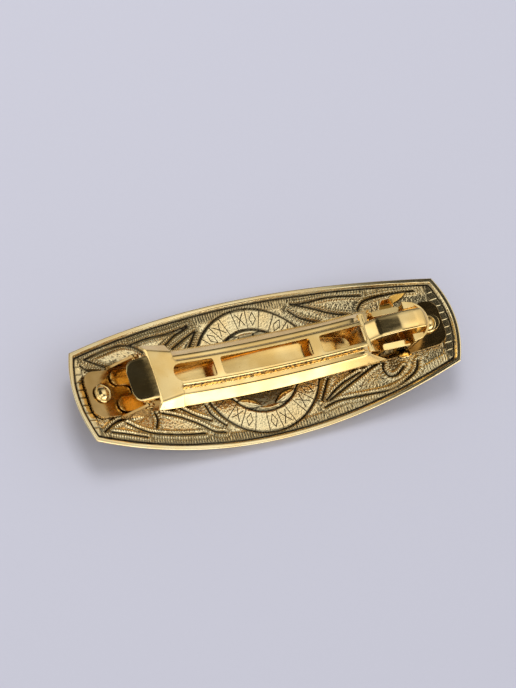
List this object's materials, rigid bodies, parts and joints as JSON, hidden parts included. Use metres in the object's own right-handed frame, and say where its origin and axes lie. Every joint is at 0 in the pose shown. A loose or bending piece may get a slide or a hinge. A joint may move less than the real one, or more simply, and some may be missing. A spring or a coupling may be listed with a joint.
{
  "type": "hair clip",
  "caption": "Curved barrel-shaped hair clip: a relief plate with a riveted bar, hinged folded arm, bow spring and press-to-open catch on its back.",
  "frame": {"origin": "under the middle of the plate, level with the lowest point of its convex front", "axes": "+X along the clip from the hinge to the catch, +Y across the clip, +Z from the plate's front to the clasp side"},
  "size_m": [0.086, 0.0306, 0.0143],
  "materials": {
    "antique_gold": "cast relief, antiqued, dark in the recesses and satin on the high parts",
    "polished_gold": "gold-coloured plating, polished",
    "spring_gold": "gold-coloured plating, polished, with fine lengthwise grain"
  },
  "bodies": {
    "base": {"ornament_plate": "antique_gold", "base_bar": "polished_gold", "rivet_hinge_end": "polished_gold", "rivet_clasp_end": "polished_gold", "hinge_pin": "polished_gold", "clasp_catch": "polished_gold"},
    "arm": {"locking_arm": "polished_gold"},
    "bow": {"bow_spring": "spring_gold"},
    "finger_near": {"catch_finger_near": "polished_gold"},
    "finger_far": {"catch_finger_far": "polished_gold"}
  },
  "joints": [
    {"name": "arm_hinge", "type": "hinge", "parent": "base", "child": "arm", "pos_m": [-0.0292, 0, 0.0105], "axis": [0, -1, 0], "range_deg": [0, 75]},
    {"name": "bow_flex", "type": "hinge", "parent": "base", "child": "bow", "pos_m": [-0.0323, 0, 0.00688], "axis": [0, -1, 0], "range_deg": [-1.2, 0], "stiffness_Nm_per_rad": 0.5},
    {"name": "press_near", "type": "hinge", "parent": "base", "child": "finger_near", "pos_m": [0.0306, -0.00398, 0.0085], "axis": [0, 0, -1], "range_deg": [0, 5], "stiffness_Nm_per_rad": 0.05},
    {"name": "press_far", "type": "hinge", "parent": "base", "child": "finger_far", "pos_m": [0.0306, 0.00398, 0.0085], "axis": [0, 0, 1], "range_deg": [0, 5], "stiffness_Nm_per_rad": 0.05}
  ],
  "couplings": [
    {"joint": "press_far", "follows": "press_near", "ratio": 1}
  ]
}
